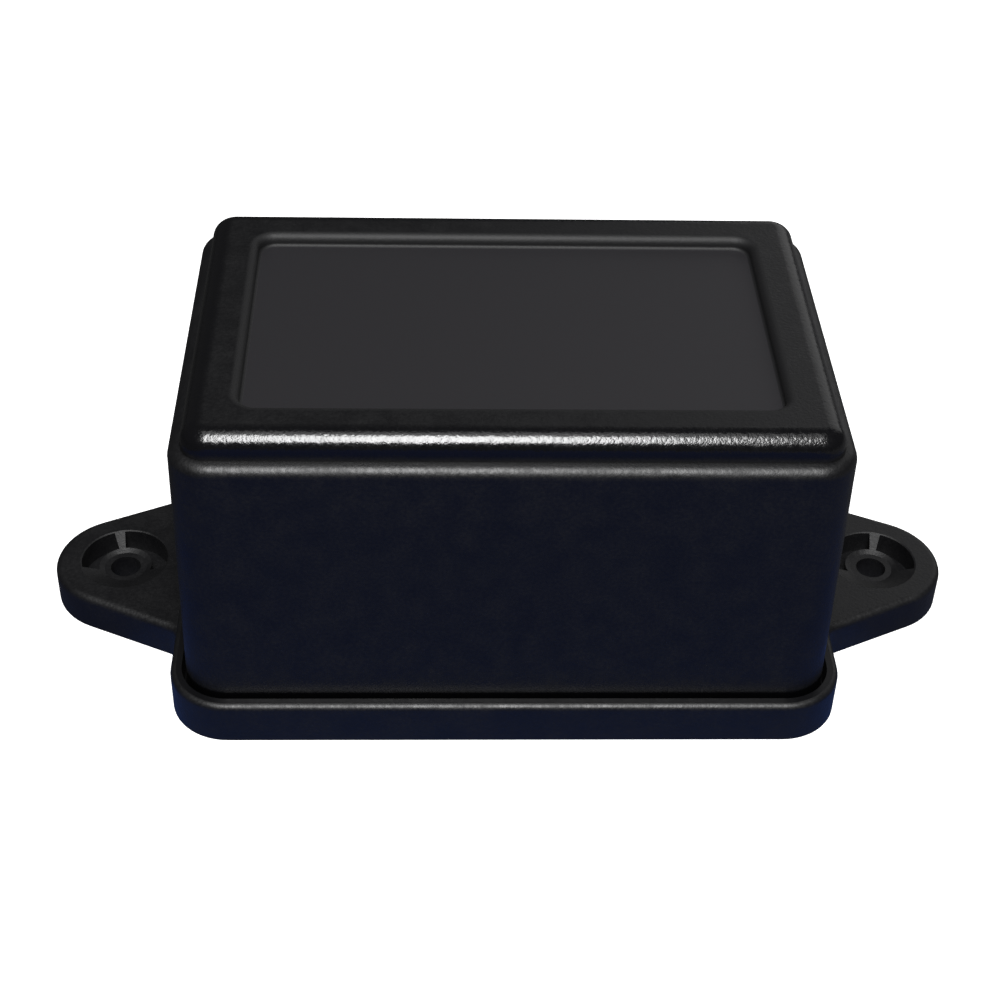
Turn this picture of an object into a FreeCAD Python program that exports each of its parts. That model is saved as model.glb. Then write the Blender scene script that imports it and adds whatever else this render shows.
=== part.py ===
import FreeCAD, Part
import math
import os
import re

import Sketcher
from FreeCAD import Vector

# A plastic project box with two mounting ears, in millimetres.
# X runs along the box from ear to ear, the front is towards -Y and Z is up.
# The origin is the centre of the underside, which is the face that meets the wall.
# The deep cover stands in a tray-shaped base, and four screws from below hold it.

SIZES = {
    # Outside of the cover: drafted walls, a ledge and a smaller cap above it.
    "ledge_length": 82.0,
    "ledge_depth": 54.5,
    "total_height": 45.6,
    "cap_height": 3.4,
    "cap_inset": 1.6,
    "draft_spread": 0.5,
    "corner_radius": 5.2,
    "cap_corner_radius": 3.2,
    "ledge_edge_radius": 1.5,
    "cap_edge_radius": 2.5,
    # Label recess in the top, with rounded edges.
    "panel_length": 65.6,
    "panel_depth": 38.2,
    "panel_recess": 1.6,
    "panel_corner_radius": 2.3,
    "panel_edge_radius": 1.0,
    "panel_floor_radius": 0.4,
    # Inside of the cover.
    "cover_wall": 2.2,
    "roof_thickness": 3.2,
    "cavity_corner_radius": 3.0,
    "post_radius": 3.6,
    "post_bite": 1.5,
    "post_clearance": 0.1,
    "web_thickness": 1.4,
    "pilot_radius": 1.25,
    "pilot_depth": 11.0,
    # Base: a plate with a rim that stands round the foot of the cover.
    "base_height": 6.0,
    "base_floor": 2.2,
    "rim_gap": 0.55,
    "rim_wall": 1.5,
    "base_edge_radius": 0.8,
    # Tongue that locates the cover from inside.
    "tongue_clearance": 0.2,
    "tongue_wall": 1.5,
    "tongue_height": 3.2,
    # Bosses of the cover screws, a little higher than the tongue, with counterbores below.
    "screw_boss_radius": 3.9,
    "screw_boss_rise": 0.4,
    "screw_hole_radius": 1.7,
    "counterbore_radius": 3.1,
    "counterbore_depth": 2.4,
    # Standoffs for a circuit board.
    "board_hole_spacing_long": 50.0,
    "board_hole_spacing_wide": 34.0,
    "standoff_radius": 2.6,
    "standoff_height": 5.0,
    "standoff_pilot_radius": 0.9,
    "standoff_pilot_depth": 4.0,
    # Mounting ears: a rounded plate with a dish round the screw hole. Two curved pockets
    # behind the hole leave a round boss and a rib between them.
    "ear_reach": 18.05,
    "ear_hole_from_tip": 9.4,
    "ear_height": 5.1,
    "ear_tip_radius": 9.2,
    "ear_flank_angle": 25.5,
    "ear_root_radius": 2.5,
    "ear_edge_radius": 1.0,
    "ear_pocket_radius": 5.9,
    "ear_pocket_floor": 1.8,
    "ear_boss_radius": 3.6,
    "ear_hole_radius": 2.05,
    "ear_dish_radius": 6.1,
    "ear_dish_depth": 1.5,
    "ear_seat_radius": 2.9,
    "ear_rib_angle": 76.0,
    "ear_rib_half_turn": 7.0,
    "ear_pocket_ends": 17.0,
    # Self-tapping cover screws with pan heads and cross recesses.
    "screw_length": 12.0,
    "screw_core_radius": 1.2,
    "screw_point_length": 1.6,
    "screw_point_radius": 0.4,
    "screw_head_radius": 2.75,
    "screw_head_height": 1.9,
    "screw_head_edge_radius": 0.9,
    "cross_length": 3.0,
    "cross_width": 0.8,
    "cross_depth": 1.3,
    "cross_corner_radius": 0.2,
}

# Heights above the underside.
LEDGE = "(total_height - cap_height)"
SHOULDER = "(total_height - cap_height - cover_wall)"
ROOF = "(total_height - roof_thickness)"
BOSS_TOP = "(base_floor + tongue_height + screw_boss_rise)"
POST_FOOT = "(base_floor + tongue_height + screw_boss_rise + post_clearance)"

# The drafted walls spread outwards on their way down, so the foot is wider than the ledge.
DRAFT = "atan(draft_spread / (total_height - cap_height - base_floor))"
FOOT_LENGTH = "(ledge_length + 2 * draft_spread)"
FOOT_DEPTH = "(ledge_depth + 2 * draft_spread)"
FOOT_CORNER = "(corner_radius + draft_spread)"

# Outside of the base, and how far the ears' tips and holes lie from the centre.
BASE_LENGTH = "(%s + 2 * rim_gap + 2 * rim_wall)" % FOOT_LENGTH
BASE_DEPTH = "(%s + 2 * rim_gap + 2 * rim_wall)" % FOOT_DEPTH
EAR_TIP = "(%s / 2 + ear_reach)" % BASE_LENGTH
EAR_HOLE = "(%s - ear_hole_from_tip)" % EAR_TIP

# The tongue follows the cavity of the cover.
TONGUE_LENGTH = "(%s - 2 * cover_wall - 2 * tongue_clearance)" % FOOT_LENGTH
TONGUE_DEPTH = "(%s - 2 * cover_wall - 2 * tongue_clearance)" % FOOT_DEPTH

# Each screw post is sunk a little into the walls of the cap.
SCREW_X = "(ledge_length / 2 - cap_inset - cover_wall + post_bite - post_radius)"
SCREW_Y = "(ledge_depth / 2 - cap_inset - cover_wall + post_bite - post_radius)"

SAME = 1e-4
ACROSS_X = "YZ_Plane"
ACROSS_Y = "XZ_Plane"

doc = FreeCAD.newDocument("project_box")
sheet = doc.addObject("Spreadsheet::Sheet", "sizes")
for row, (name, size) in enumerate(SIZES.items(), 1):
    sheet.set("A%d" % row, name)
    sheet.set("B%d" % row, "%g" % size)
    sheet.setAlias("B%d" % row, name)
doc.recompute()


def formula(text):
    """The expression with each size read from the sheet."""
    return re.sub(r"[a-z]\w*", lambda word: "sizes." + word[0] if word[0] in SIZES else word[0], text)


def number(text):
    """The value of an expression, where a drawing starts from it."""
    return float(sheet.evalExpression(formula(text)))


def bind(thing, path, text):
    thing.setExpression(path, formula(text))


def origin_plane(body, role):
    return next(feature for feature in body.Origin.OriginFeatures if feature.Role == role)


def new_body(label):
    body = doc.addObject("PartDesign::Body", label)
    body.Label = label
    body.Placement = FreeCAD.Placement()
    return body


def flat_sketch(body, name, height, x="0", y="0", turn="0"):
    """A horizontal sketch at a height, with its origin at x, y and turned about Z."""
    sketch = body.newObject("Sketcher::SketchObject", name)
    sketch.AttachmentSupport = (origin_plane(body, "XY_Plane"), [""])
    sketch.MapMode = "FlatFace"
    bind(sketch, "AttachmentOffset.Base.x", x)
    bind(sketch, "AttachmentOffset.Base.y", y)
    bind(sketch, "AttachmentOffset.Base.z", height)
    bind(sketch, "AttachmentOffset.Rotation.Angle", turn)
    return sketch


def upright_sketch(body, name, x, y):
    """A sketch that faces the front, with its origin at x, y and its second axis along Z."""
    sketch = body.newObject("Sketcher::SketchObject", name)
    sketch.AttachmentSupport = (origin_plane(body, "XZ_Plane"), [""])
    sketch.MapMode = "FlatFace"
    bind(sketch, "AttachmentOffset.Base.x", x)
    bind(sketch, "AttachmentOffset.Base.z", "-" + y)
    return sketch


def dimension(sketch, name, kind, references, text):
    """A named dimension that follows the sheet."""
    index = sketch.addConstraint(Sketcher.Constraint(kind, *references, number(text)))
    sketch.renameConstraint(index, name)
    bind(sketch, "Constraints." + name, text)


def add_line(sketch, start, end):
    return sketch.addGeometry(Part.LineSegment(Vector(*start, 0), Vector(*end, 0)), False)


def add_arc(sketch, centre, radius, first, last):
    """An arc from one angle to another, counter-clockwise, in degrees."""
    circle = Part.Circle(Vector(*centre, 0), Vector(0, 0, 1), radius)
    return sketch.addGeometry(Part.ArcOfCircle(circle, math.radians(first), math.radians(last)), False)


def draw_rounded_rectangle(sketch, length, depth, radius, name="outline"):
    """A rectangle with round corners, centred on the sketch's origin."""
    r = number(radius)
    x = number(length) / 2
    y = number(depth) / 2
    bottom = add_line(sketch, (r - x, -y), (x - r, -y))
    front_right = add_arc(sketch, (x - r, r - y), r, -90, 0)
    right = add_line(sketch, (x, r - y), (x, y - r))
    back_right = add_arc(sketch, (x - r, y - r), r, 0, 90)
    top = add_line(sketch, (x - r, y), (r - x, y))
    back_left = add_arc(sketch, (r - x, y - r), r, 90, 180)
    left = add_line(sketch, (-x, y - r), (-x, r - y))
    front_left = add_arc(sketch, (r - x, r - y), r, 180, 270)
    loop = [bottom, front_right, right, back_right, top, back_left, left, front_left]
    for this, following in zip(loop, loop[1:] + loop[:1]):
        sketch.addConstraint(Sketcher.Constraint("Tangent", this, 2, following, 1))
    for line in (bottom, top):
        sketch.addConstraint(Sketcher.Constraint("Horizontal", line))
    for line in (left, right):
        sketch.addConstraint(Sketcher.Constraint("Vertical", line))
    for arc in (back_right, front_left):
        sketch.addConstraint(Sketcher.Constraint("Equal", front_right, arc))
    sketch.addConstraint(Sketcher.Constraint("Symmetric", front_right, 3, back_left, 3, -1, 1))
    dimension(sketch, name + "_corner", "Radius", (front_right,), radius)
    dimension(sketch, name + "_length", "DistanceX", (left, 1, right, 1), length)
    dimension(sketch, name + "_depth", "DistanceY", (bottom, 1, top, 1), depth)


def draw_circle(sketch, radius, x="0", name="hole"):
    """A circle on the sketch's first axis."""
    circle = Part.Circle(Vector(number(x), 0, 0), Vector(0, 0, 1), number(radius))
    index = sketch.addGeometry(circle, False)
    if x == "0":
        sketch.addConstraint(Sketcher.Constraint("Coincident", index, 3, -1, 1))
    else:
        sketch.addConstraint(Sketcher.Constraint("PointOnObject", index, 3, -1))
        dimension(sketch, name + "_place", "DistanceX", (-1, 1, index, 3), x)
    dimension(sketch, name + "_radius", "Radius", (index,), radius)


def draw_profile(sketch, corners):
    """A closed outline of straight lines, with every corner placed from the origin."""
    places = [(number(x), number(y)) for x, y in corners]
    lines = [add_line(sketch, a, b) for a, b in zip(places, places[1:] + places[:1])]
    for this, following in zip(lines, lines[1:] + lines[:1]):
        sketch.addConstraint(Sketcher.Constraint("Coincident", this, 2, following, 1))
    for line, (x, y) in zip(lines, corners):
        if x == "0":
            sketch.addConstraint(Sketcher.Constraint("PointOnObject", line, 1, -2))
        else:
            dimension(sketch, "x%d" % line, "DistanceX", (-1, 1, line, 1), x)
        if y == "0":
            sketch.addConstraint(Sketcher.Constraint("PointOnObject", line, 1, -1))
        else:
            dimension(sketch, "y%d" % line, "DistanceY", (-1, 1, line, 1), y)


def draw_bar(sketch, start, end, width):
    """A rectangle along the first axis, as wide on one side of it as on the other."""
    x0 = number(start)
    x1 = number(end)
    y = number(width) / 2
    lower = add_line(sketch, (x0, -y), (x1, -y))
    far = add_line(sketch, (x1, -y), (x1, y))
    upper = add_line(sketch, (x1, y), (x0, y))
    near = add_line(sketch, (x0, y), (x0, -y))
    loop = [lower, far, upper, near]
    for this, following in zip(loop, loop[1:] + loop[:1]):
        sketch.addConstraint(Sketcher.Constraint("Coincident", this, 2, following, 1))
    sketch.addConstraint(Sketcher.Constraint("Symmetric", far, 1, far, 2, -1))
    sketch.addConstraint(Sketcher.Constraint("Symmetric", near, 1, near, 2, -1))
    sketch.addConstraint(Sketcher.Constraint("Horizontal", lower))
    dimension(sketch, "start", "DistanceX", (-1, 1, lower, 1), start)
    dimension(sketch, "end", "DistanceX", (-1, 1, lower, 2), end)
    dimension(sketch, "width", "DistanceY", (far, 1, far, 2), width)


def draw_ring_part(sketch, name, inner, outer, first, last):
    """A part of a ring about the sketch's origin, from one angle to another, in degrees."""
    near = number(inner)
    far = number(outer)
    angles = (number(first), number(last))
    ends = [(math.cos(math.radians(a)), math.sin(math.radians(a))) for a in angles]
    inner_arc = add_arc(sketch, (0, 0), near, *angles)
    outer_arc = add_arc(sketch, (0, 0), far, *angles)
    for arc, side, radius in ((inner_arc, "_near", inner), (outer_arc, "_far", outer)):
        sketch.addConstraint(Sketcher.Constraint("Coincident", arc, 3, -1, 1))
        dimension(sketch, name + side, "Radius", (arc,), radius)
    for point, end, (x, y), angle in ((1, "_first", ends[0], first), (2, "_last", ends[1], last)):
        radial = add_line(sketch, (near * x, near * y), (far * x, far * y))
        sketch.addConstraint(Sketcher.Constraint("Coincident", radial, 1, inner_arc, point))
        sketch.addConstraint(Sketcher.Constraint("Coincident", radial, 2, outer_arc, point))
        index = sketch.addConstraint(Sketcher.Constraint("Angle", radial, math.radians(number(angle))))
        sketch.renameConstraint(index, name + end)
        bind(sketch, "Constraints." + name + end, angle + " * 1 deg")


def draw_ear(sketch, side, root, tip_centre):
    """The ear's plan: a round tip, straight flanks that widen towards the box, and hollow
    fillets that run into the side of the base. It starts inside the base, at the root."""
    slope = math.radians(number("ear_flank_angle"))
    tip = number("ear_tip_radius")
    hollow = number("ear_root_radius")
    centre_x = number(tip_centre)
    side_x = number(side)
    root_x = number(root)
    tip_x = centre_x + tip * math.sin(slope)
    tip_y = tip * math.cos(slope)
    run = side_x + hollow - tip_x
    hollow_y = tip_y + (hollow - run * math.sin(slope)) / math.cos(slope)
    flank_x = side_x + hollow - hollow * math.sin(slope)
    flank_y = hollow_y - hollow * math.cos(slope)
    angle = number("ear_flank_angle")

    lower_run = add_line(sketch, (root_x, -hollow_y), (side_x, -hollow_y))
    lower_hollow = add_arc(sketch, (side_x + hollow, -hollow_y), hollow, 90 + angle, 180)
    lower_flank = add_line(sketch, (flank_x, -flank_y), (tip_x, -tip_y))
    round_tip = add_arc(sketch, (centre_x, 0), tip, angle - 90, 90 - angle)
    upper_flank = add_line(sketch, (tip_x, tip_y), (flank_x, flank_y))
    upper_hollow = add_arc(sketch, (side_x + hollow, hollow_y), hollow, 180, 270 - angle)
    upper_run = add_line(sketch, (side_x, hollow_y), (root_x, hollow_y))
    inner_end = add_line(sketch, (root_x, hollow_y), (root_x, -hollow_y))

    joins = (
        ("Coincident", lower_run, 2, lower_hollow, 2),
        ("Tangent", lower_hollow, 1, lower_flank, 1),
        ("Tangent", lower_flank, 2, round_tip, 1),
        ("Tangent", round_tip, 2, upper_flank, 1),
        ("Tangent", upper_flank, 2, upper_hollow, 2),
        ("Coincident", upper_hollow, 1, upper_run, 1),
        ("Coincident", upper_run, 2, inner_end, 1),
        ("Coincident", inner_end, 2, lower_run, 1),
    )
    for kind, *ends in joins:
        sketch.addConstraint(Sketcher.Constraint(kind, *ends))
    for line in (lower_run, upper_run):
        sketch.addConstraint(Sketcher.Constraint("Horizontal", line))
    sketch.addConstraint(Sketcher.Constraint("Vertical", inner_end))
    sketch.addConstraint(Sketcher.Constraint("Horizontal", upper_hollow, 3, upper_hollow, 1))
    sketch.addConstraint(Sketcher.Constraint("Horizontal", lower_hollow, 3, lower_hollow, 2))
    sketch.addConstraint(Sketcher.Constraint("PointOnObject", round_tip, 3, -1))
    sketch.addConstraint(Sketcher.Constraint("Symmetric", upper_hollow, 3, lower_hollow, 3, -1))
    sketch.addConstraint(Sketcher.Constraint("Equal", upper_hollow, lower_hollow))
    dimension(sketch, "tip_radius", "Radius", (round_tip,), "ear_tip_radius")
    dimension(sketch, "tip_place", "DistanceX", (-1, 1, round_tip, 3), tip_centre)
    dimension(sketch, "hollow_radius", "Radius", (upper_hollow,), "ear_root_radius")
    dimension(sketch, "side_place", "DistanceX", (-1, 1, upper_hollow, 1), side)
    dimension(sketch, "root_place", "DistanceX", (-1, 1, inner_end, 1), root)
    dimension(sketch, "half_spread", "DistanceY", (-1, 1, round_tip, 2), "ear_tip_radius * cos(ear_flank_angle)")


def add_pad(body, name, sketch, length, down=False, taper="0"):
    pad = body.newObject("PartDesign::Pad", name)
    pad.Profile = sketch
    pad.Reversed = down
    bind(pad, "Length", length)
    bind(pad, "TaperAngle", taper)
    body.Tip = pad
    doc.recompute()
    return pad


def add_pocket(body, name, sketch, depth, up=False, taper="0"):
    """A pocket that has to take material away, or the model stops."""
    before = body.Shape.Volume
    pocket = body.newObject("PartDesign::Pocket", name)
    pocket.Profile = sketch
    pocket.Reversed = up
    bind(pocket, "Length", depth)
    bind(pocket, "TaperAngle", taper)
    body.Tip = pocket
    doc.recompute()
    if not pocket.Shape.Volume < before:
        raise ValueError("%s cuts nothing" % name)
    return pocket


def add_turned(body, kind, name, sketch):
    """A whole turn of a profile about the upright axis of its sketch."""
    turned = body.newObject(kind, name)
    turned.Profile = sketch
    turned.ReferenceAxis = (sketch, ["V_Axis"])
    turned.Angle = 360
    body.Tip = turned
    doc.recompute()
    return turned


def add_fillet(body, name, base, belongs, radius):
    """Rounds each edge of the base feature that belongs to the chosen place."""
    chosen = ["Edge%d" % i for i, edge in enumerate(base.Shape.Edges, 1) if belongs(edge)]
    if not chosen:
        raise ValueError("%s finds no edge" % name)
    fillet = body.newObject("PartDesign::Fillet", name)
    fillet.Base = (base, chosen)
    bind(fillet, "Radius", radius)
    body.Tip = fillet
    doc.recompute()
    return fillet


def add_mirrors(body, copies, planes):
    """Gives a feature the mirrors that it copies across."""
    mirrors = []
    for role in planes:
        mirror = doc.addObject("PartDesign::Mirrored", "%s_%s" % (copies.Name, role))
        mirror.MirrorPlane = (origin_plane(body, role), [""])
        body.addObject(mirror)
        mirrors.append(mirror)
    copies.Transformations = mirrors
    body.Tip = copies
    doc.recompute()


def add_copies(body, name, originals, planes):
    """Mirrors some features across one or two of the origin planes."""
    copies = body.newObject("PartDesign::MultiTransform", name)
    copies.Originals = originals
    add_mirrors(body, copies, planes)


def add_whole_copies(body, name, planes):
    """Mirrors all that the body holds so far across one or two of the origin planes."""
    copies = body.newObject("PartDesign::MultiTransform", name)
    copies.TransformMode = "Whole shape"
    add_mirrors(body, copies, planes)


def is_level(edge, height):
    """Whether the whole edge lies at one height."""
    level = number(height)
    first, last = edge.ParameterRange
    places = (edge.valueAt(at) for at in (first, (first + last) / 2, last))
    return all(abs(place.z - level) < SAME for place in places)


def build_cover():
    """The deep shell, open below: outside first, then the cavity, then the screw posts."""
    cover = new_body("cover")

    sketch = flat_sketch(cover, "wall_outline", LEDGE)
    draw_rounded_rectangle(sketch, "ledge_length", "ledge_depth", "corner_radius")
    walls = add_pad(cover, "walls", sketch, LEDGE + " - base_floor", down=True, taper=DRAFT)
    add_fillet(cover, "ledge_edge", walls, lambda edge: is_level(edge, LEDGE), "ledge_edge_radius")

    sketch = flat_sketch(cover, "cap_outline", LEDGE)
    cap_length = "(ledge_length - 2 * cap_inset)"
    cap_depth = "(ledge_depth - 2 * cap_inset)"
    draw_rounded_rectangle(sketch, cap_length, cap_depth, "cap_corner_radius")
    cap = add_pad(cover, "cap", sketch, "cap_height")
    rounded = add_fillet(cover, "cap_edge", cap, lambda edge: is_level(edge, "total_height"), "cap_edge_radius")

    sketch = flat_sketch(cover, "panel_outline", "total_height")
    draw_rounded_rectangle(sketch, "panel_length", "panel_depth", "panel_corner_radius")
    outer_rim = rounded.Shape.BoundBox
    panel = add_pocket(cover, "panel", sketch, "panel_recess")
    half_panel = number("panel_length") / 2

    def is_panel_rim(edge):
        return is_level(edge, "total_height") and edge.BoundBox.XMax < half_panel + SAME < outer_rim.XMax

    eased = add_fillet(cover, "panel_edge", panel, is_panel_rim, "panel_edge_radius")
    panel_floor = "(total_height - panel_recess)"
    add_fillet(cover, "panel_floor_edge", eased, lambda edge: is_level(edge, panel_floor), "panel_floor_radius")

    sketch = flat_sketch(cover, "cavity_outline", "base_floor")
    cavity_length = "(%s - 2 * cover_wall)" % FOOT_LENGTH
    cavity_depth = "(%s - 2 * cover_wall)" % FOOT_DEPTH
    cavity_corner = "(cavity_corner_radius + draft_spread)"
    draw_rounded_rectangle(sketch, cavity_length, cavity_depth, cavity_corner)
    add_pocket(cover, "cavity", sketch, SHOULDER + " - base_floor", up=True, taper="-" + DRAFT)

    sketch = flat_sketch(cover, "cap_cavity_outline", SHOULDER)
    inner_length = "(%s - 2 * cover_wall)" % cap_length
    inner_depth = "(%s - 2 * cover_wall)" % cap_depth
    draw_rounded_rectangle(sketch, inner_length, inner_depth, "cavity_corner_radius")
    add_pocket(cover, "cap_cavity", sketch, ROOF + " - " + SHOULDER, up=True)

    sketch = flat_sketch(cover, "post_outline", POST_FOOT, SCREW_X, SCREW_Y)
    draw_circle(sketch, "post_radius")
    post = add_pad(cover, "post", sketch, ROOF + " - " + POST_FOOT)

    web_height = SHOULDER + " - " + POST_FOOT
    end_x = "(ledge_length / 2 - cover_wall / 2 - %s)" % SCREW_X
    end_y = "(ledge_depth / 2 - cover_wall / 2 - %s)" % SCREW_Y
    sketch = flat_sketch(cover, "end_web_outline", POST_FOOT, SCREW_X, SCREW_Y)
    draw_bar(sketch, "post_radius / 2", end_x, "web_thickness")
    end_web = add_pad(cover, "end_web", sketch, web_height)
    sketch = flat_sketch(cover, "side_web_outline", POST_FOOT, SCREW_X, SCREW_Y, turn="90")
    draw_bar(sketch, "post_radius / 2", end_y, "web_thickness")
    side_web = add_pad(cover, "side_web", sketch, web_height)

    sketch = flat_sketch(cover, "pilot_outline", POST_FOOT, SCREW_X, SCREW_Y)
    draw_circle(sketch, "pilot_radius")
    pilot = add_pocket(cover, "pilot", sketch, "pilot_depth", up=True)
    add_copies(cover, "corner_posts", [post, end_web, side_web, pilot], (ACROSS_X, ACROSS_Y))
    return cover


def build_base():
    """The plate with its rim, tongue, bosses and standoffs, and an ear at each end."""
    base = new_body("base")
    half_base = "(%s / 2)" % BASE_LENGTH

    sketch = flat_sketch(base, "ear_outline", "0")
    draw_ear(sketch, half_base, half_base + " - rim_wall", EAR_TIP + " - ear_tip_radius")
    ear = add_pad(base, "ear", sketch, "ear_height")
    side_x = number(half_base)

    def is_ear_rim(edge):
        return is_level(edge, "ear_height") and edge.BoundBox.XMax > side_x + SAME

    add_fillet(base, "ear_edge", ear, is_ear_rim, "ear_edge_radius")
    add_whole_copies(base, "both_ears", (ACROSS_X,))

    sketch = flat_sketch(base, "base_outline", "0")
    draw_rounded_rectangle(sketch, BASE_LENGTH, BASE_DEPTH, FOOT_CORNER + " + rim_gap + rim_wall")
    block = add_pad(base, "block", sketch, "base_height")
    add_fillet(base, "rim_edge", block, lambda edge: is_level(edge, "base_height"), "base_edge_radius")

    sketch = flat_sketch(base, "tray_outline", "base_height")
    tray_length = "(%s + 2 * rim_gap)" % FOOT_LENGTH
    tray_depth = "(%s + 2 * rim_gap)" % FOOT_DEPTH
    draw_rounded_rectangle(sketch, tray_length, tray_depth, FOOT_CORNER + " + rim_gap")
    add_pocket(base, "tray", sketch, "base_height - base_floor")

    sketch = flat_sketch(base, "tongue_outline", "base_floor")
    inner_length = "(%s - 2 * tongue_wall)" % TONGUE_LENGTH
    inner_depth = "(%s - 2 * tongue_wall)" % TONGUE_DEPTH
    tongue_corner = "(cavity_corner_radius + draft_spread)"
    draw_rounded_rectangle(sketch, TONGUE_LENGTH, TONGUE_DEPTH, tongue_corner, "outer")
    draw_rounded_rectangle(sketch, inner_length, inner_depth, tongue_corner, "inner")
    add_pad(base, "tongue", sketch, "tongue_height")

    sketch = flat_sketch(base, "screw_boss_outline", "base_floor", SCREW_X, SCREW_Y)
    draw_circle(sketch, "screw_boss_radius")
    boss = add_pad(base, "screw_boss", sketch, "tongue_height + screw_boss_rise")
    sketch = flat_sketch(base, "screw_hole_outline", "0", SCREW_X, SCREW_Y)
    draw_circle(sketch, "screw_hole_radius")
    hole = add_pocket(base, "screw_hole", sketch, BOSS_TOP, up=True)
    sketch = flat_sketch(base, "counterbore_outline", "0", SCREW_X, SCREW_Y)
    draw_circle(sketch, "counterbore_radius")
    counterbore = add_pocket(base, "counterbore", sketch, "counterbore_depth", up=True)

    board_x = "(board_hole_spacing_long / 2)"
    board_y = "(board_hole_spacing_wide / 2)"
    sketch = flat_sketch(base, "standoff_outline", "base_floor", board_x, board_y)
    draw_circle(sketch, "standoff_radius")
    standoff = add_pad(base, "standoff", sketch, "standoff_height")
    sketch = flat_sketch(base, "standoff_pilot_outline", "base_floor + standoff_height", board_x, board_y)
    draw_circle(sketch, "standoff_pilot_radius")
    standoff_pilot = add_pocket(base, "standoff_pilot", sketch, "standoff_pilot_depth")
    corner_features = [boss, hole, counterbore, standoff, standoff_pilot]
    add_copies(base, "corner_features", corner_features, (ACROSS_X, ACROSS_Y))

    seat = "(ear_height - ear_dish_depth)"
    sketch = upright_sketch(base, "ear_dish_profile", EAR_HOLE, "0")
    draw_profile(
        sketch,
        [
            ("0", seat),
            ("ear_seat_radius", seat),
            ("ear_dish_radius", "ear_height"),
            ("0", "ear_height"),
        ],
    )
    dish = add_turned(base, "PartDesign::Groove", "ear_dish", sketch)
    sketch = flat_sketch(base, "ear_pocket_outline", "ear_height", EAR_HOLE)
    rib_outer_side = "(ear_rib_angle - ear_rib_half_turn)"
    rib_inner_side = "(ear_rib_angle + ear_rib_half_turn)"
    draw_ring_part(sketch, "outer", "ear_boss_radius", "ear_pocket_radius", "(-ear_pocket_ends)", rib_outer_side)
    draw_ring_part(sketch, "inner", "ear_boss_radius", "ear_pocket_radius", rib_inner_side, "(180 + ear_pocket_ends)")
    pockets = add_pocket(base, "ear_pockets", sketch, "ear_height - ear_pocket_floor")
    sketch = flat_sketch(base, "ear_hole_outline", "0", EAR_HOLE)
    draw_circle(sketch, "ear_hole_radius")
    ear_hole = add_pocket(base, "ear_hole", sketch, "ear_height", up=True)
    add_copies(base, "ear_features", [dish, pockets, ear_hole], (ACROSS_X,))
    return base


def build_cover_screws():
    """Four equal screws, head down in the counterbores and point up in the posts."""
    screws = new_body("cover_screws")
    seat = "counterbore_depth"
    head_face = "(counterbore_depth - screw_head_height)"
    tip = "(counterbore_depth + screw_length)"
    point = "(counterbore_depth + screw_length - screw_point_length)"
    sketch = upright_sketch(screws, "screw_profile", SCREW_X, SCREW_Y)
    draw_profile(
        sketch,
        [
            ("0", head_face),
            ("screw_head_radius", head_face),
            ("screw_head_radius", seat),
            ("screw_core_radius", seat),
            ("screw_core_radius", point),
            ("screw_point_radius", tip),
            ("0", tip),
        ],
    )
    turned = add_turned(screws, "PartDesign::Revolution", "turned_blank", sketch)
    add_fillet(screws, "head_edge", turned, lambda edge: is_level(edge, head_face), "screw_head_edge_radius")
    for name, turn in (("first_slot", "0"), ("second_slot", "90")):
        sketch = flat_sketch(screws, name + "_outline", head_face, SCREW_X, SCREW_Y, turn)
        draw_rounded_rectangle(sketch, "cross_length", "cross_width", "cross_corner_radius")
        add_pocket(screws, name, sketch, "cross_depth", up=True)
    add_whole_copies(screws, "four_screws", (ACROSS_X, ACROSS_Y))
    return screws


bodies = [build_cover(), build_base(), build_cover_screws()]
doc.recompute()

for thing in doc.Objects:
    if any(state in ("Invalid", "Error") for state in thing.State):
        raise ValueError("%s is not built: %s" % (thing.Name, thing.State))
for body in bodies:
    if body.Shape.isNull() or not body.Shape.isValid():
        raise ValueError("%s has no valid shape" % body.Label)

os.makedirs("parts", exist_ok=True)
for body in bodies:
    body.Shape.exportStep("parts/%s.step" % body.Label)
    print(body.Label, len(body.Shape.Solids), round(body.Shape.Volume, 1), body.Shape.BoundBox)
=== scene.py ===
"""Looks of a black plastic project box with a mounting ear at each end.

The cover and the base are ABS mouldings, and four self-tapping screws hold them together from below.
Everything is in metres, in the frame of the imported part: the origin is the middle of the underside.
"""

import math

import bpy
from mathutils import Matrix, Vector


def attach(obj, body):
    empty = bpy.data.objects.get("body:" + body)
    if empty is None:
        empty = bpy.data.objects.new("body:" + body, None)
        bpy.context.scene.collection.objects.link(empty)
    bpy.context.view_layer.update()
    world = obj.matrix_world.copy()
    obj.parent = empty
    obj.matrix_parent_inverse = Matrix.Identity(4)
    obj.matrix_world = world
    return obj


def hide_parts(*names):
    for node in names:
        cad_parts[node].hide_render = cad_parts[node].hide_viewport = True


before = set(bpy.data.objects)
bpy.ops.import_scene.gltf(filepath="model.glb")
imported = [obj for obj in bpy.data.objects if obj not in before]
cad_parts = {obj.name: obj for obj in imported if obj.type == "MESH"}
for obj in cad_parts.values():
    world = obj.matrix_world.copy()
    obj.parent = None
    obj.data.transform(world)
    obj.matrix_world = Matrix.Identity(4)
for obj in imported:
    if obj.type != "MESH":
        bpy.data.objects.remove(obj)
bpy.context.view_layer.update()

MM = 0.001

# Camera: where the photograph was taken from. Turns are in degrees, lens and sensor in millimetres.
CAMERA_PLACE = Vector((-10.12, -201.18, 179.09)) * MM
CAMERA_YAW = -2.751
CAMERA_PITCH = 39.05
CAMERA_ROLL = 1.911
CAMERA_LENS = 68.6
CAMERA_SENSOR = 36.0
CAMERA_NEAR_CLIP = 0.01

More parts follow.
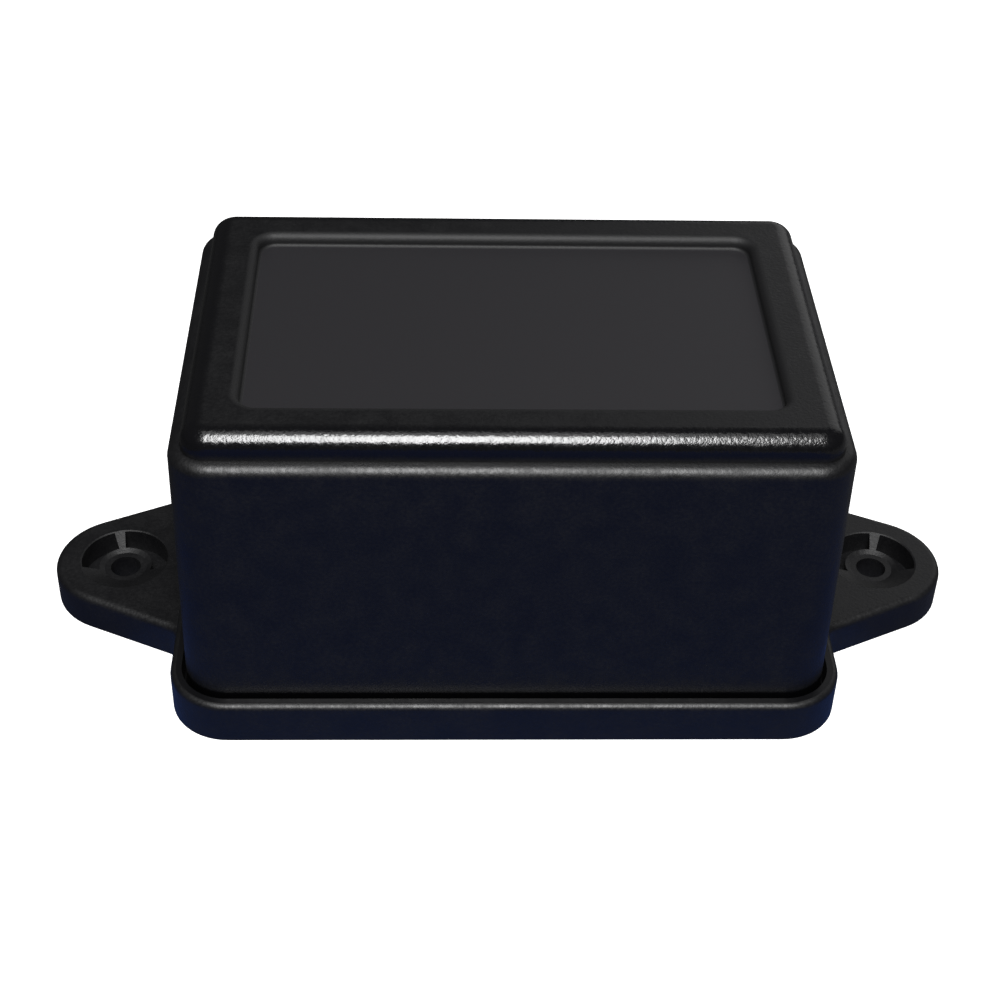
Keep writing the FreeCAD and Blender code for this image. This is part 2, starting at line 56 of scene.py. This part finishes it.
# Length, depth and corner radius of the outlines that a finish follows, as in the CAD.
CAP = (78.8 * MM, 51.3 * MM, 3.2 * MM)
RECESS = (65.6 * MM, 38.2 * MM, 2.3 * MM)
FOOT = (83.0 * MM, 55.5 * MM, 5.7 * MM)
BASE = (87.1 * MM, 59.6 * MM, 7.8 * MM)

# Where each finish of the plastic fades in: nothing of it at the first number and all of it at the second.
# Heights are above the underside, and the other numbers are distances outside the outline named.
ABOVE_LEDGE = (42.6 * MM, 43.4 * MM)
ON_CAP_EDGE = (-2.9 * MM, -1.9 * MM)
ABOVE_RECESS_FLOOR = (43.2 * MM, 43.4 * MM)
BELOW_RECESS_EDGE = (44.12 * MM, 44.06 * MM)
ON_RECESS_FLOOR = (-0.25 * MM, -0.35 * MM)
ROUND_RECESS = (1.2 * MM, 0.8 * MM)
# BELOW_RIM and IN_GAP mark the foot of the cover down in the gap to the base, where shade is painted into the colour.
BELOW_RIM = (6.8 * MM, 6.4 * MM)
IN_GAP = (0.45 * MM, 0.3 * MM)
ON_RIM_TOP = (5.85 * MM, 5.95 * MM)
INSIDE_RIM_EDGE = (-0.7 * MM, -0.8 * MM)
OUTSIDE_RIM_HOLLOW = (-1.6 * MM, -1.5 * MM)

# Black ABS: grain and patches of the mould, and the roughness of each finish.
GRAIN = 0.45 * MM
GRAIN_DEPTH = 0.042 * MM
GRAIN_DETAIL = 2.0
GRAIN_BREAKUP = 0.6
PATCH = 3.5 * MM
PATCH_DETAIL = 1.0
PATCH_SHARE = (0.9, 1.1)
NOISE_RANGE = (0.3, 0.7)
BUMP_STRENGTH = 0.9
ABS_IOR = 1.53
SATIN = (0.4, 0.52)
POLISHED = (0.14, 0.24)
RECESS_FLOOR_ROUGH = 0.55
RECESS_EDGE_ROUGH = 0.62
LAND_ROUGH = 0.3
GAP_ROUGH = 0.3
BODY_COLOUR = "#0A0A0C"
RECESS_COLOUR = "#1C1B1E"
# Painted shade: the near black that the foot of the cover takes down in the gap, darker than the plastic, where shade
# falls between the parts.
GAP_PAINTED_SHADE_COLOUR = "#020203"

# Zinc plating: faint clouds a millimetre or two across.
ZINC_COLOUR = "#C9CBCC"
ZINC_ROUGH = (0.22, 0.38)
ZINC_CLOUD = 1.5 * MM
ZINC_CLOUD_DETAIL = 3.0

# Cover screws, head down. The head's face lies a little inside the base.
SCREW = {
    "Head radius": 2.75 * MM,
    "Head height": 1.9 * MM,
    "Head edge radius": 0.9 * MM,
    "Head face": 0.5 * MM,
    "Recess length": 3.1 * MM,
    "Recess width": 0.62 * MM,
    "Recess depth": 1.2 * MM,
    "Core radius": 1.1 * MM,
    "Thread depth": 0.38 * MM,
    "Thread pitch": 1.27 * MM,
    "Length": 12.0 * MM,
    "Spacing along": 70.2 * MM,
    "Spacing across": 42.7 * MM,
}
# The recess narrows from its mouth to its bottom, as shares of its length and width.
RECESS_MOUTH = 1.25
RECESS_BOTTOM = 0.45
# Half of the thread's crest and the start of its root, as shares of the pitch.
CREST = 0.04
ROOT = 0.3
# Where the point starts and ends, as shares of the shank, and what is left of its radius there.
POINT_START = 0.86
POINT_END = 0.995
POINT_SIZE = 0.2
# The shank starts inside the head, at this share of the head's height, and its ends are closed.
SHANK_ROOT = 0.8
SHANK_END = 0.001
# Points round the screw and along its profile.
HEAD_POINTS = (49, 25)
SHANK_POINTS = (25, 170)
WELD = 0.0005 * MM
CREASE = math.radians(35)
TURN_SEED = 5

# Floor and background, and how much of the white the gloss sees.
FLOOR_HALF = 3.0
FLOOR_DROP = 0.05 * MM
GLOSSY_LEVEL = 0.04
FILL_LEVEL = 0.2
GLOW = (0.45, 1.0)
GLOW_REACH = (0.2, 0.7)
WHITE = "#FFFFFF"
FLOOR_SEEN = "#F4F4F4"
# What the box's gloss and bounce light see of the floor is painted with light and shade: dark blue in front, painted
# paler round the base's foot as a pool of light, and grey behind, painted lighter towards the right as light from that
# side.
FRONT_FAR = "#243360"
FRONT_NEAR = "#31457A"
BACK_LEFT = "#303030"
BACK_RIGHT = "#555556"
NEAR_BASE = (10 * MM, 6 * MM)
LEFT_TO_RIGHT = (-60 * MM, 120 * MM)
IN_FRONT = (4 * MM, -16 * MM)
BESIDE = (130 * MM, 80 * MM)

# Lamps: azimuth and elevation in degrees, width and height in metres, and radiance.
# Azimuth 0 is behind the box and 90 to its right.
LAMPS = {
    "front_key": (-178.5, 56, 0.36, 0.74, 24),
    "overhead": (180, 84, 0.6, 0.5, 1.4),
    "right_card": (34, 22, 0.97, 0.78, 0.5),
}
LAMP_DISTANCE = 1.2
LAMP_AIM = Vector((0, 0, 0.03))


def linear(sheet_colour):
    """An sRGB hex colour as the linear RGBA that the shaders take."""
    channels = [int(sheet_colour[i:i + 2], 16) / 255 for i in (1, 3, 5)]
    return tuple(c / 12.92 if c <= 0.04045 else ((c + 0.055) / 1.055) ** 2.4 for c in channels) + (1.0,)


def add_node(tree, kind, inputs=None, **settings):
    """Adds a node with its settings and links.

    An input takes a value, the socket that feeds it, a node whose first output feeds it, or a list of those.
    """
    node = tree.nodes.new(kind)
    for name, value in settings.items():
        setattr(node, name, value)
    for name, value in (inputs or {}).items():
        for feed in value if isinstance(value, list) else [value]:
            if isinstance(feed, bpy.types.Node):
                feed = feed.outputs[0]
            if isinstance(feed, bpy.types.NodeSocket):
                tree.links.new(feed, node.inputs[name])
            else:
                node.inputs[name].default_value = feed
    return node


def new_material(name):
    """An empty node material."""
    material = bpy.data.materials.new(name)
    material.use_nodes = True
    material.node_tree.nodes.clear()
    return material, material.node_tree


def outline_distance(tree, place, length, depth, corner):
    """How far a point lies outside an upright rounded outline, in plan; negative inside it."""
    plan = add_node(tree, "ShaderNodeVectorMath", {0: place, 1: (1, 1, 0)}, operation="MULTIPLY")
    quarter = add_node(tree, "ShaderNodeVectorMath", {0: plan}, operation="ABSOLUTE")
    centre = (length / 2 - corner, depth / 2 - corner, 0)
    past = add_node(tree, "ShaderNodeVectorMath", {0: quarter, 1: centre}, operation="SUBTRACT")
    beyond = add_node(tree, "ShaderNodeVectorMath", {0: past, 1: (0, 0, 0)}, operation="MAXIMUM")
    reach = add_node(tree, "ShaderNodeVectorMath", {0: beyond}, operation="LENGTH").outputs["Value"]
    split = add_node(tree, "ShaderNodeSeparateXYZ", {"Vector": past}).outputs
    wider = add_node(tree, "ShaderNodeMath", {0: split["X"], 1: split["Y"]}, operation="MAXIMUM")
    within = add_node(tree, "ShaderNodeMath", {0: wider, 1: 0.0}, operation="MINIMUM")
    both = add_node(tree, "ShaderNodeMath", {0: reach, 1: within}, operation="ADD")
    return add_node(tree, "ShaderNodeMath", {0: both, 1: corner}, operation="SUBTRACT")


def zone(tree, *fades):
    """The mask of a place: each fade is a measure with its two ends, and the mask is full where all are."""
    mask = None
    for measure, (start, end) in fades:
        fade = add_node(tree, "ShaderNodeMapRange", {"Value": measure, "From Min": start, "From Max": end})
        if mask is None:
            mask = fade
        else:
            mask = add_node(tree, "ShaderNodeMath", {0: mask, 1: fade}, operation="MULTIPLY")
    return mask


def black_abs():
    """Black ABS from a spark-eroded mould.

    To the eye: a deep black satin, whose fine grain breaks each highlight into specks. The rounded edge of
    the cap, which hands and pockets rub, is burnished, and the label recess is smooth, flat and a shade paler.
    The land on top of the base's rim, where the halves of the mould met, has no grain.
    """
    material, tree = new_material("black_abs_spark_eroded")
    place = add_node(tree, "ShaderNodeTexCoord").outputs["Object"]
    height = add_node(tree, "ShaderNodeSeparateXYZ", {"Vector": place}).outputs["Z"]
    past_cap = outline_distance(tree, place, *CAP)
    past_recess = outline_distance(tree, place, *RECESS)
    past_foot = outline_distance(tree, place, *FOOT)
    past_base = outline_distance(tree, place, *BASE)
    burnished = zone(tree, (past_cap, ON_CAP_EDGE), (height, ABOVE_LEDGE))
    recess_floor = zone(
        tree, (height, ABOVE_RECESS_FLOOR), (height, BELOW_RECESS_EDGE), (past_recess, ON_RECESS_FLOOR))
    recess_edge = zone(tree, (past_recess, ROUND_RECESS), (height, ABOVE_RECESS_FLOOR))
    land = zone(tree, (past_base, INSIDE_RIM_EDGE), (past_base, OUTSIDE_RIM_HOLLOW), (height, ON_RIM_TOP))
    # Painted shade: the mask of the cover's foot down in the gap, which is coloured darker there and made smoother.
    painted_shade_in_gap = zone(tree, (height, BELOW_RIM), (past_foot, IN_GAP))

    # The real grain is about 0.1 mm. It is drawn as coarse as a picture of the whole box can show.
    grain = add_node(tree, "ShaderNodeTexNoise", {
        "Vector": place, "Scale": 1 / GRAIN, "Detail": GRAIN_DETAIL, "Roughness": GRAIN_BREAKUP})
    bare = add_node(tree, "ShaderNodeMath", {0: recess_floor, 1: land}, operation="MAXIMUM")
    grained = add_node(tree, "ShaderNodeMath", {0: 1.0, 1: bare}, operation="SUBTRACT")
    relief = add_node(tree, "ShaderNodeMath", {0: grain, 1: grained}, operation="MULTIPLY")
    bump = add_node(tree, "ShaderNodeBump", {
        "Height": relief, "Strength": BUMP_STRENGTH, "Distance": GRAIN_DEPTH})

    patches = add_node(tree, "ShaderNodeTexNoise", {"Vector": place, "Scale": 1 / PATCH, "Detail": PATCH_DETAIL})
    low, high = NOISE_RANGE
    satin, polished, share = (
        add_node(tree, "ShaderNodeMapRange", {
            "Value": noise, "From Min": low, "From Max": high, "To Min": least, "To Max": most})
        for noise, (least, most) in ((grain, SATIN), (grain, POLISHED), (patches, PATCH_SHARE)))
    worn = add_node(tree, "ShaderNodeMix", {"Factor": burnished, 2: satin, 3: polished})
    rough = add_node(tree, "ShaderNodeMath", {0: worn, 1: share}, operation="MULTIPLY")
    for mask, level in (
            (recess_edge, RECESS_EDGE_ROUGH), (land, LAND_ROUGH), (painted_shade_in_gap, GAP_ROUGH), (recess_floor, RECESS_FLOOR_ROUGH)):
        rough = add_node(tree, "ShaderNodeMix", {"Factor": mask, 2: rough, 3: level})

    colour = linear(BODY_COLOUR)
    # The gap's colour is painted shade; the recess floor's paler colour is its own.
    for mask, shade in ((painted_shade_in_gap, GAP_PAINTED_SHADE_COLOUR), (recess_floor, RECESS_COLOUR)):
        colour = add_node(
            tree, "ShaderNodeMix", {"Factor": mask, 6: colour, 7: linear(shade)}, data_type="RGBA").outputs[2]
    plastic = add_node(tree, "ShaderNodeBsdfPrincipled", {
        "Base Color": colour, "Roughness": rough, "IOR": ABS_IOR, "Normal": bump})
    add_node(tree, "ShaderNodeOutputMaterial", {"Surface": plastic})
    return material


def zinc_steel():
    """Zinc-plated steel, barrel plated. To the eye: pale, slightly blue metal with a soft, cloudy shine."""
    material, tree = new_material("zinc_plated_steel")
    place = add_node(tree, "ShaderNodeTexCoord").outputs["Object"]
    cloud = add_node(tree, "ShaderNodeTexNoise", {
        "Vector": place, "Scale": 1 / ZINC_CLOUD, "Detail": ZINC_CLOUD_DETAIL})
    rough = add_node(tree, "ShaderNodeMapRange", {
        "Value": cloud, "To Min": ZINC_ROUGH[0], "To Max": ZINC_ROUGH[1]})
    metal = add_node(tree, "ShaderNodeBsdfPrincipled", {
        "Base Color": linear(ZINC_COLOUR), "Metallic": 1.0, "Roughness": rough})
    add_node(tree, "ShaderNodeOutputMaterial", {"Surface": metal})
    return material


def dress(piece, material):
    piece.data.materials.clear()
    piece.data.materials.append(material)


def turned_skin(tree, points, radius_of, height_of):
    """A closed skin of revolution from a grid: its columns go round and its rows go along the profile."""
    around, along = points
    grid = add_node(tree, "GeometryNodeMeshGrid", {
        "Size X": 1.0, "Size Y": 1.0, "Vertices X": around, "Vertices Y": along})
    place = add_node(tree, "GeometryNodeInputPosition")
    shares = add_node(tree, "ShaderNodeVectorMath", {0: place, 1: (0.5, 0.5, 0)}, operation="ADD")
    split = add_node(tree, "ShaderNodeSeparateXYZ", {0: shares}).outputs
    turn, run = split["X"], split["Y"]
    angle = add_node(tree, "ShaderNodeMath", {0: turn, 1: 2 * math.pi}, operation="MULTIPLY")
    radius, height = radius_of(run, turn), height_of(run)
    cosine = add_node(tree, "ShaderNodeMath", {0: angle}, operation="COSINE")
    sine = add_node(tree, "ShaderNodeMath", {0: angle}, operation="SINE")
    across = add_node(tree, "ShaderNodeMath", {0: radius, 1: cosine}, operation="MULTIPLY")
    back = add_node(tree, "ShaderNodeMath", {0: radius, 1: sine}, operation="MULTIPLY")
    spot = add_node(tree, "ShaderNodeCombineXYZ", {"X": across, "Y": back, "Z": height})
    shaped = add_node(tree, "GeometryNodeSetPosition", {"Geometry": grid, "Position": spot})
    return add_node(tree, "GeometryNodeMergeByDistance", {"Geometry": shaped, "Distance": WELD})


def pan_head(tree, given):
    """A pan head: a flat face, a quarter-round edge, an upright side and a flat seat."""
    edge = given["Head edge radius"]
    face = given["Head face"]

    def quarter(run, index):
        """How far one of the four quarters of the profile has run."""
        return add_node(tree, "ShaderNodeMapRange", {
            "Value": run, "From Min": index / 4, "From Max": (index + 1) / 4})

    def bend_of(run):
        return add_node(tree, "ShaderNodeMath", {0: quarter(run, 1), 1: math.pi / 2}, operation="MULTIPLY")

    def radius_of(run, turn):
        flat_radius = add_node(tree, "ShaderNodeMath", {0: given["Head radius"], 1: edge}, operation="SUBTRACT")
        flat = add_node(tree, "ShaderNodeMath", {0: quarter(run, 0), 1: flat_radius}, operation="MULTIPLY")
        outwards = add_node(tree, "ShaderNodeMath", {0: bend_of(run)}, operation="SINE")
        bend = add_node(tree, "ShaderNodeMath", {0: outwards, 1: edge}, operation="MULTIPLY")
        full = add_node(tree, "ShaderNodeMath", {0: flat, 1: bend}, operation="ADD")
        inwards = add_node(tree, "ShaderNodeMath", {0: 1.0, 1: quarter(run, 3)}, operation="SUBTRACT")
        return add_node(tree, "ShaderNodeMath", {0: full, 1: inwards}, operation="MULTIPLY")

    def height_of(run):
        still_level = add_node(tree, "ShaderNodeMath", {0: bend_of(run)}, operation="COSINE")
        upwards = add_node(tree, "ShaderNodeMath", {0: 1.0, 1: still_level}, operation="SUBTRACT")
        bend = add_node(tree, "ShaderNodeMath", {0: upwards, 1: edge}, operation="MULTIPLY")
        side_height = add_node(tree, "ShaderNodeMath", {0: given["Head height"], 1: edge}, operation="SUBTRACT")
        side = add_node(tree, "ShaderNodeMath", {0: quarter(run, 2), 1: side_height}, operation="MULTIPLY")
        rise = add_node(tree, "ShaderNodeMath", {0: bend, 1: side}, operation="ADD")
        return add_node(tree, "ShaderNodeMath", {0: rise, 1: face}, operation="ADD")

    return turned_skin(tree, HEAD_POINTS, radius_of, height_of)


def threaded_shank(tree, given):
    """The core with its thread, whose crest moves on by one pitch in each turn, down to a blunt point."""
    face = given["Head face"]

    def height_of(run):
        sunk = add_node(tree, "ShaderNodeMath", {0: given["Head height"], 1: SHANK_ROOT}, operation="MULTIPLY")
        start = add_node(tree, "ShaderNodeMath", {0: face, 1: sunk}, operation="ADD")
        seat = add_node(tree, "ShaderNodeMath", {0: face, 1: given["Head height"]}, operation="ADD")
        tip = add_node(tree, "ShaderNodeMath", {0: seat, 1: given["Length"]}, operation="ADD")
        return add_node(tree, "ShaderNodeMapRange", {"Value": run, "To Min": start, "To Max": tip})

    def radius_of(run, turn):
        pitches = add_node(tree, "ShaderNodeMath", {0: height_of(run), 1: given["Thread pitch"]}, operation="DIVIDE")
        lead = add_node(tree, "ShaderNodeMath", {0: pitches, 1: turn}, operation="SUBTRACT")
        phase = add_node(tree, "ShaderNodeMath", {0: lead}, operation="FRACT")
        centred = add_node(tree, "ShaderNodeMath", {0: phase, 1: 0.5}, operation="SUBTRACT")
        off_crest = add_node(tree, "ShaderNodeMath", {0: centred}, operation="ABSOLUTE")
        tooth = add_node(tree, "ShaderNodeMapRange", {
            "Value": off_crest, "From Min": CREST, "From Max": ROOT, "To Min": 1.0, "To Max": 0.0})
        thread = add_node(tree, "ShaderNodeMath", {0: tooth, 1: given["Thread depth"]}, operation="MULTIPLY")
        body = add_node(tree, "ShaderNodeMath", {0: given["Core radius"], 1: thread}, operation="ADD")
        point = add_node(tree, "ShaderNodeMapRange", {
            "Value": run, "From Min": POINT_START, "From Max": POINT_END, "To Min": 1.0, "To Max": POINT_SIZE})
        pointed = add_node(tree, "ShaderNodeMath", {0: body, 1: point}, operation="MULTIPLY")
        past_start = add_node(tree, "ShaderNodeMath", {0: run, 1: SHANK_END}, operation="GREATER_THAN")
        before_end = add_node(tree, "ShaderNodeMath", {0: run, 1: 1 - SHANK_END}, operation="LESS_THAN")
        between = add_node(tree, "ShaderNodeMath", {0: past_start, 1: before_end}, operation="MULTIPLY")
        return add_node(tree, "ShaderNodeMath", {0: pointed, 1: between}, operation="MULTIPLY")

    return turned_skin(tree, SHANK_POINTS, radius_of, height_of)


def recess_wing(tree, given, turned):
    """One wing of the cross recess, a bar that is wider at the mouth than at the bottom."""
    depth = given["Recess depth"]
    tall = add_node(tree, "ShaderNodeMath", {0: depth, 1: 2.0}, operation="MULTIPLY")
    size = add_node(tree, "ShaderNodeCombineXYZ", {"X": given["Recess length"], "Y": given["Recess width"], "Z": tall})
    bar = add_node(tree, "GeometryNodeMeshCube", {"Size": size})
    place = add_node(tree, "GeometryNodeInputPosition")
    height = add_node(tree, "ShaderNodeSeparateXYZ", {0: place}).outputs["Z"]
    mouth = add_node(tree, "ShaderNodeMath", {0: depth, 1: -1.0}, operation="MULTIPLY")
    share = add_node(tree, "ShaderNodeMapRange", {
        "Value": height, "From Min": mouth, "From Max": depth, "To Min": RECESS_MOUTH, "To Max": RECESS_BOTTOM})
    shares = add_node(tree, "ShaderNodeCombineXYZ", {"X": share, "Y": share, "Z": 1.0})
    tapered = add_node(tree, "ShaderNodeVectorMath", {0: place, 1: shares}, operation="MULTIPLY")
    formed = add_node(tree, "GeometryNodeSetPosition", {"Geometry": bar, "Position": tapered})
    lift = add_node(tree, "ShaderNodeCombineXYZ", {"Z": given["Head face"]})
    return add_node(tree, "GeometryNodeTransform", {
        "Geometry": formed, "Translation": lift, "Rotation": (0, 0, turned)})


def screw_tree(material):
    """Self-tapping pan-head screws with a cross recess, one at each corner of the base."""
    tree = bpy.data.node_groups.new("cover_screws", "GeometryNodeTree")
    tree.interface.new_socket("Geometry", in_out="OUTPUT", socket_type="NodeSocketGeometry")
    for name, size in SCREW.items():
        tree.interface.new_socket(name, in_out="INPUT", socket_type="NodeSocketFloat").default_value = size
    given = add_node(tree, "NodeGroupInput").outputs

    wings = [recess_wing(tree, given, turned) for turned in (0.0, math.pi / 2)]
    cut = add_node(tree, "GeometryNodeMeshBoolean", {
        0: pan_head(tree, given), 1: wings}, operation="DIFFERENCE", solver="EXACT")
    screw = add_node(tree, "GeometryNodeJoinGeometry", {0: [cut, threaded_shank(tree, given)]})

    corners = add_node(tree, "GeometryNodeMeshGrid", {
        "Size X": given["Spacing along"], "Size Y": given["Spacing across"], "Vertices X": 2, "Vertices Y": 2})
    spin = add_node(tree, "FunctionNodeRandomValue", {
        0: (0, 0, 0), 1: (0, 0, math.pi / 2), "Seed": TURN_SEED}, data_type="FLOAT_VECTOR")
    four = add_node(tree, "GeometryNodeInstanceOnPoints", {"Points": corners, "Instance": screw, "Rotation": spin})
    real = add_node(tree, "GeometryNodeRealizeInstances", {"Geometry": four})
    bend = add_node(tree, "GeometryNodeInputMeshEdgeAngle").outputs["Unsigned Angle"]
    crease = add_node(tree, "FunctionNodeCompare", {0: bend, 1: CREASE}, data_type="FLOAT", operation="GREATER_THAN")
    faces = add_node(tree, "GeometryNodeSetShadeSmooth", {0: real, "Shade Smooth": True}, domain="FACE")
    edges = add_node(tree, "GeometryNodeSetShadeSmooth", {
        0: faces, "Selection": crease, "Shade Smooth": False}, domain="EDGE")
    plated = add_node(tree, "GeometryNodeSetMaterial", {"Geometry": edges, "Material": material})
    add_node(tree, "NodeGroupOutput", {0: plated})
    return tree


def plain_mesh(tree, name, sizes):
    """Runs a tree with its sizes and keeps the result as a plain piece."""
    maker = bpy.data.objects.new(name + "_maker", bpy.data.meshes.new(name + "_maker"))
    bpy.context.scene.collection.objects.link(maker)
    modifier = maker.modifiers.new("nodes", "NODES")
    modifier.node_group = tree
    for item in tree.interface.items_tree:
        if item.in_out == "INPUT":
            modifier[item.identifier] = sizes[item.name]
    evaluated = maker.evaluated_get(bpy.context.evaluated_depsgraph_get())
    mesh = bpy.data.meshes.new_from_object(evaluated)
    mesh.name = name
    bpy.data.objects.remove(maker)
    piece = bpy.data.objects.new(name, mesh)
    bpy.context.scene.collection.objects.link(piece)
    return piece


def seen_rays(tree):
    """The ray's kinds, and 1 on rays that show the background: from the camera, or through something clear."""
    rays = add_node(tree, "ShaderNodeLightPath").outputs
    seen = add_node(tree, "ShaderNodeMath", {
        0: rays["Is Camera Ray"], 1: rays["Is Transmission Ray"]}, operation="MAXIMUM")
    return rays, seen


def white_world():
    """White to the camera. It fills the shadows a little, and the gloss sees it dimmer."""
    world = bpy.data.worlds.new("studio")
    world.use_nodes = True
    tree = world.node_tree
    tree.nodes.clear()
    rays, seen = seen_rays(tree)
    unseen = add_node(tree, "ShaderNodeMapRange", {
        "Value": rays["Is Glossy Ray"], "To Min": FILL_LEVEL, "To Max": GLOSSY_LEVEL})
    level = add_node(tree, "ShaderNodeMath", {0: seen, 1: unseen}, operation="MAXIMUM")
    background = add_node(tree, "ShaderNodeBackground", {"Color": linear(WHITE), "Strength": level})
    add_node(tree, "ShaderNodeOutputWorld", {"Surface": background})
    bpy.context.scene.world = world


def floor_paint():
    """White to the camera. The gloss of the box sees what the photographed one does, a dark surface."""
    material, tree = new_material("pale_floor")
    rays, seen = seen_rays(tree)
    place = add_node(tree, "ShaderNodeTexCoord").outputs["Object"]
    axes = add_node(tree, "ShaderNodeSeparateXYZ", {"Vector": place}).outputs
    sideways = add_node(tree, "ShaderNodeMath", {0: axes["X"]}, operation="ABSOLUTE")
    # Painted reflections: for the box's gloss the floor is painted dark, blue in front, with a pool of light painted
    # round the base's foot and light painted stronger towards the right behind.
    near_base = zone(tree, (outline_distance(tree, place, *BASE), NEAR_BASE))
    to_right = zone(tree, (axes["X"], LEFT_TO_RIGHT))
    ahead = zone(tree, (axes["Y"], IN_FRONT), (sideways, BESIDE))
    front, back = (
        add_node(tree, "ShaderNodeMix", {
            "Factor": mask, 6: linear(first), 7: linear(second)}, data_type="RGBA").outputs[2]
        for mask, first, second in ((near_base, FRONT_FAR, FRONT_NEAR), (to_right, BACK_LEFT, BACK_RIGHT)))
    mirrored = add_node(
        tree, "ShaderNodeMix", {"Factor": ahead, 6: back, 7: front}, data_type="RGBA").outputs[2]
    paint = add_node(
        tree, "ShaderNodeMix", {"Factor": seen, 6: mirrored, 7: linear(FLOOR_SEEN)}, data_type="RGBA").outputs[2]
    lit = add_node(tree, "ShaderNodeBsdfDiffuse", {"Color": paint})
    # Close to the box the glow is weak, so that its shadow shows. Further off the floor is as white as the wall.
    away = add_node(tree, "ShaderNodeVectorMath", {0: place}, operation="LENGTH").outputs["Value"]
    rising = add_node(tree, "ShaderNodeMapRange", {
        "Value": away, "From Min": GLOW_REACH[0], "From Max": GLOW_REACH[1], "To Min": GLOW[0], "To Max": GLOW[1]})
    strength = add_node(tree, "ShaderNodeMath", {0: seen, 1: rising}, operation="MULTIPLY")
    glow = add_node(tree, "ShaderNodeEmission", {"Color": linear(WHITE), "Strength": strength})
    both = add_node(tree, "ShaderNodeAddShader", {0: lit, 1: glow})
    add_node(tree, "ShaderNodeOutputMaterial", {"Surface": both})
    return material


def pale_floor():
    mesh = bpy.data.meshes.new("floor")
    corners = [(x * FLOOR_HALF, y * FLOOR_HALF, 0) for x, y in ((-1, -1), (1, -1), (1, 1), (-1, 1))]
    mesh.from_pydata(corners, [], [(0, 1, 2, 3)])
    mesh.materials.append(floor_paint())
    floor = bpy.data.objects.new("floor", mesh)
    floor.location.z = -FLOOR_DROP
    bpy.context.scene.collection.objects.link(floor)


def softbox(name, azimuth, elevation, width, height, radiance):
    """An area lamp that faces the box."""
    a, e = math.radians(azimuth), math.radians(elevation)
    towards = Vector((math.sin(a) * math.cos(e), math.cos(a) * math.cos(e), math.sin(e)))
    lamp = bpy.data.lights.new(name, "AREA")
    lamp.shape = "RECTANGLE"
    lamp.size = width
    lamp.size_y = height
    lamp.energy = radiance * math.pi * width * height
    holder = bpy.data.objects.new(name, lamp)
    bpy.context.scene.collection.objects.link(holder)
    holder.location = towards * LAMP_DISTANCE + LAMP_AIM
    holder.rotation_mode = "QUATERNION"
    holder.rotation_quaternion = towards.to_track_quat("Z", "Y")


def photo_camera():
    yaw, pitch, roll = (math.radians(a) for a in (CAMERA_YAW, CAMERA_PITCH, CAMERA_ROLL))
    forward = Vector((-math.sin(yaw) * math.cos(pitch), math.cos(yaw) * math.cos(pitch), -math.sin(pitch)))
    level_right = Vector((math.cos(yaw), math.sin(yaw), 0))
    level_up = level_right.cross(forward)
    right = math.cos(roll) * level_right + math.sin(roll) * level_up
    up = -math.sin(roll) * level_right + math.cos(roll) * level_up
    camera = bpy.data.objects.new("camera", bpy.data.cameras.new("camera"))
    bpy.context.scene.collection.objects.link(camera)
    facing = Matrix((right, up, -forward)).transposed().to_4x4()
    camera.matrix_world = Matrix.Translation(CAMERA_PLACE) @ facing
    camera.data.sensor_width = CAMERA_SENSOR
    camera.data.lens = CAMERA_LENS
    camera.data.clip_start = CAMERA_NEAR_CLIP
    bpy.context.scene.camera = camera


abs_grained = black_abs()
dress(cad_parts["cover"], abs_grained)
dress(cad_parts["base"], abs_grained)
screws = plain_mesh(screw_tree(zinc_steel()), "pan_head_screws", SCREW)
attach(screws, "root")
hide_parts("cover_screws")

white_world()
pale_floor()
for name, settings in LAMPS.items():
    softbox(name, *settings)
photo_camera()
bpy.context.scene.view_settings.view_transform = "Standard"
